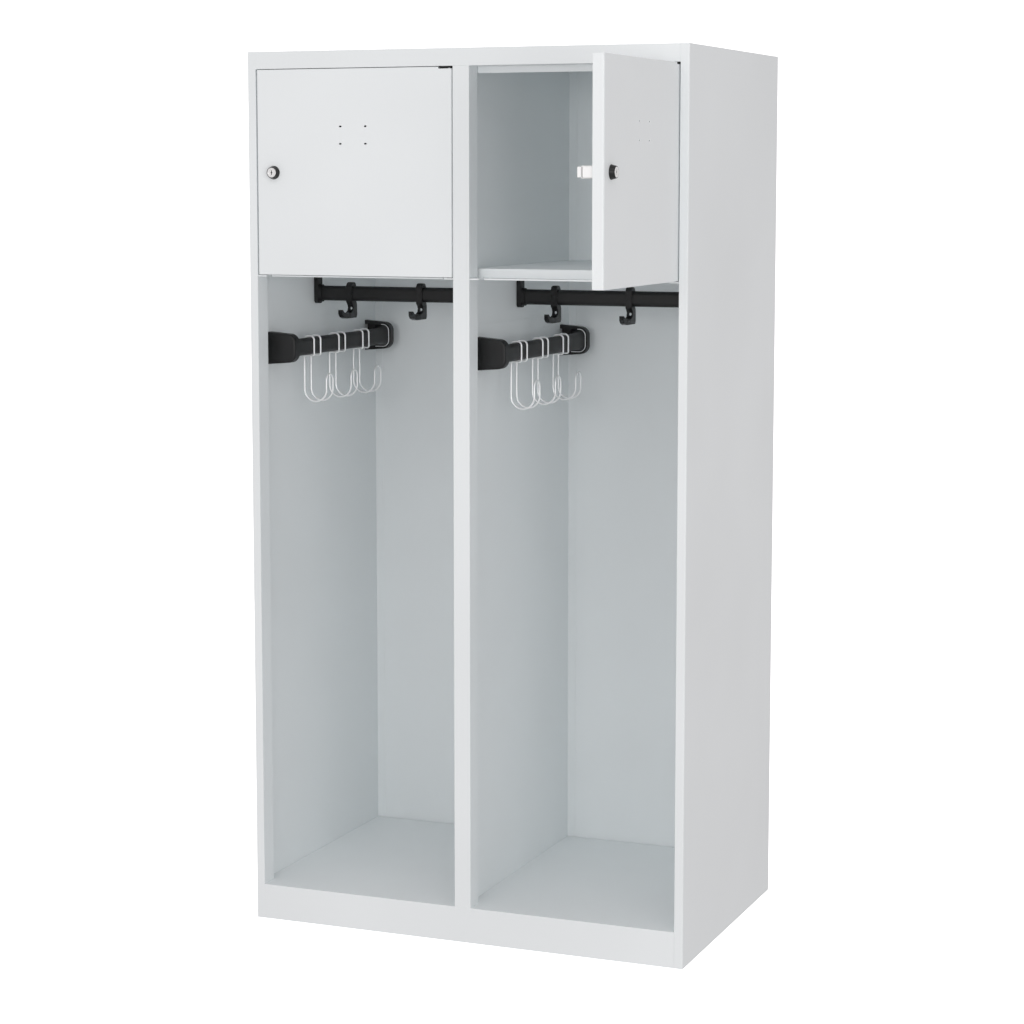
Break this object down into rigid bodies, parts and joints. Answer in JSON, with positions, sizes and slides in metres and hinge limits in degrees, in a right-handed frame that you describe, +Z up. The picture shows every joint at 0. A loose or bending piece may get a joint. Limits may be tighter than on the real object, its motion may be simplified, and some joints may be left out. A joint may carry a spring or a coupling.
{
  "type": "firefighter locker",
  "caption": "Open-front steel clothing locker with lockable helmet compartments above, hanging rails with sliding hooks, and side arms with wire hooks.",
  "frame": {"origin": "middle of the footprint, on the floor", "axes": "+Z up, -Y out of the open front, +X to the right as seen from the front; the right door is stored open at 90 degrees"},
  "size_m": [0.94, 1.014, 1.8],
  "materials": {
    "carcass_paint": "light grey powder coat, semi-matt",
    "door_paint": "light grey powder coat, semi-matt",
    "plate_paint": "light grey powder coat, semi-matt",
    "bush_plastic": "black nylon",
    "plated_steel": "zinc plated",
    "rail_black": "black, satin",
    "bracket_black": "black, fine grain",
    "arm_black": "black, satin",
    "hook_black": "black, smooth moulding",
    "hook_wire": "bright plated wire",
    "rosette_black": "black, smooth moulding",
    "lock_bright": "bright nickel",
    "lock_white": "white, smooth moulding"
  },
  "bodies": {
    "carcass": {"arm_bracket_left_front": "arm_black", "arm_bracket_left_rear": "arm_black", "arm_bracket_right_front": "arm_black", "arm_bracket_right_rear": "arm_black", "arm_clips": "hook_wire", "arm_plate_left": "plate_paint", "arm_plate_right": "plate_paint", "arm_screws": "plated_steel", "back_panel": "carcass_paint", "base_panel": "carcass_paint", "centre_partition": "carcass_paint", "centre_post": "carcass_paint", "front_stile_left": "carcass_paint", "front_stile_right": "carcass_paint", "hanging_rail_left": "rail_black", "hanging_rail_right": "rail_black", "header_strip_left": "carcass_paint", "header_strip_right": "carcass_paint", "hinge_bushes_left": "bush_plastic", "hinge_bushes_right": "bush_plastic", "plinth_rib": "carcass_paint", "rail_bracket_left_inner": "bracket_black", "rail_bracket_left_outer": "bracket_black", "rail_bracket_right_inner": "bracket_black", "rail_bracket_right_outer": "bracket_black", "rail_screws": "plated_steel", "shelf_left": "carcass_paint", "shelf_right": "carcass_paint", "side_arm_left": "arm_black", "side_arm_right": "arm_black", "side_panel_left": "carcass_paint", "side_panel_right": "carcass_paint", "top_panel": "carcass_paint"},
    "door_left": {"door_panel_left": "door_paint", "hinge_pins_left": "plated_steel", "lock_case_left": "lock_white", "lock_ring_left": "lock_bright", "lock_rosette_left": "rosette_black"},
    "door_right": {"door_panel_right": "door_paint", "hinge_pins_right": "plated_steel", "lock_case_right": "lock_white", "lock_ring_right": "lock_bright", "lock_rosette_right": "rosette_black"},
    "lock_bolt_left": {"lock_bolt_left": "lock_white"},
    "lock_bolt_right": {"lock_bolt_right": "lock_white"},
    "lock_plug_left": {"lock_plug_left": "lock_bright"},
    "lock_plug_right": {"lock_plug_right": "lock_bright"},
    "rail_hook_left_a": {"rail_hook_left_a": "hook_black"},
    "rail_hook_left_b": {"rail_hook_left_b": "hook_black"},
    "rail_hook_right_a": {"rail_hook_right_a": "hook_black"},
    "rail_hook_right_b": {"rail_hook_right_b": "hook_black"},
    "wire_hook_left_front": {"wire_hook_left_front": "hook_wire"},
    "wire_hook_left_middle": {"wire_hook_left_middle": "hook_wire"},
    "wire_hook_left_rear": {"wire_hook_left_rear": "hook_wire"},
    "wire_hook_right_front": {"wire_hook_right_front": "hook_wire"},
    "wire_hook_right_middle": {"wire_hook_right_middle": "hook_wire"},
    "wire_hook_right_rear": {"wire_hook_right_rear": "hook_wire"}
  },
  "joints": [
    {"name": "door_left_hinge", "type": "hinge", "parent": "carcass", "child": "door_left", "pos_m": [-0.02775, -0.292, 1.5571], "axis": [0, 0, 1], "range_deg": [0, 100]},
    {"name": "door_right_hinge", "type": "hinge", "parent": "carcass", "child": "door_right", "pos_m": [0.44175, -0.292, 1.5571], "axis": [0, 0, 1], "range_deg": [-90, 10]},
    {"name": "lock_plug_left_turn", "type": "hinge", "parent": "door_left", "child": "lock_plug_left", "pos_m": [-0.41275, -0.3, 1.5571], "axis": [0, -1, 0], "range_deg": [0, 180]},
    {"name": "lock_plug_right_turn", "type": "hinge", "parent": "door_right", "child": "lock_plug_right", "pos_m": [0.44975, -0.677, 1.5571], "axis": [1, 0, 0], "range_deg": [0, 180]},
    {"name": "lock_bolt_left_slide", "type": "slide", "parent": "door_left", "child": "lock_bolt_left", "axis": [-1, 0, 0], "range_m": [0, 0.012]},
    {"name": "lock_bolt_right_slide", "type": "slide", "parent": "door_right", "child": "lock_bolt_right", "axis": [0, -1, 0], "range_m": [0, 0.012]},
    {"name": "rail_hook_left_a_slide", "type": "slide", "parent": "carcass", "child": "rail_hook_left_a", "axis": [1, 0, 0], "range_m": [-0.05, 0.07]},
    {"name": "rail_hook_left_b_slide", "type": "slide", "parent": "carcass", "child": "rail_hook_left_b", "axis": [1, 0, 0], "range_m": [-0.08, 0.185]},
    {"name": "wire_hook_left_front_slide", "type": "slide", "parent": "carcass", "child": "wire_hook_left_front", "axis": [0, 1, 0], "range_m": [-0.04, 0.04]},
    {"name": "wire_hook_left_middle_slide", "type": "slide", "parent": "carcass", "child": "wire_hook_left_middle", "axis": [0, 1, 0], "range_m": [-0.04, 0.04]},
    {"name": "wire_hook_left_rear_slide", "type": "slide", "parent": "carcass", "child": "wire_hook_left_rear", "axis": [0, 1, 0], "range_m": [-0.04, 0.07]},
    {"name": "rail_hook_right_a_slide", "type": "slide", "parent": "carcass", "child": "rail_hook_right_a", "axis": [1, 0, 0], "range_m": [-0.05, 0.07]},
    {"name": "rail_hook_right_b_slide", "type": "slide", "parent": "carcass", "child": "rail_hook_right_b", "axis": [1, 0, 0], "range_m": [-0.08, 0.185]},
    {"name": "wire_hook_right_front_slide", "type": "slide", "parent": "carcass", "child": "wire_hook_right_front", "axis": [0, 1, 0], "range_m": [-0.04, 0.04]},
    {"name": "wire_hook_right_middle_slide", "type": "slide", "parent": "carcass", "child": "wire_hook_right_middle", "axis": [0, 1, 0], "range_m": [-0.04, 0.04]},
    {"name": "wire_hook_right_rear_slide", "type": "slide", "parent": "carcass", "child": "wire_hook_right_rear", "axis": [0, 1, 0], "range_m": [-0.04, 0.07]}
  ],
  "couplings": [
    {"joint": "lock_bolt_left_slide", "follows": "lock_plug_left_turn", "m_per_rad": 0.003819},
    {"joint": "lock_bolt_right_slide", "follows": "lock_plug_right_turn", "m_per_rad": 0.003819}
  ]
}
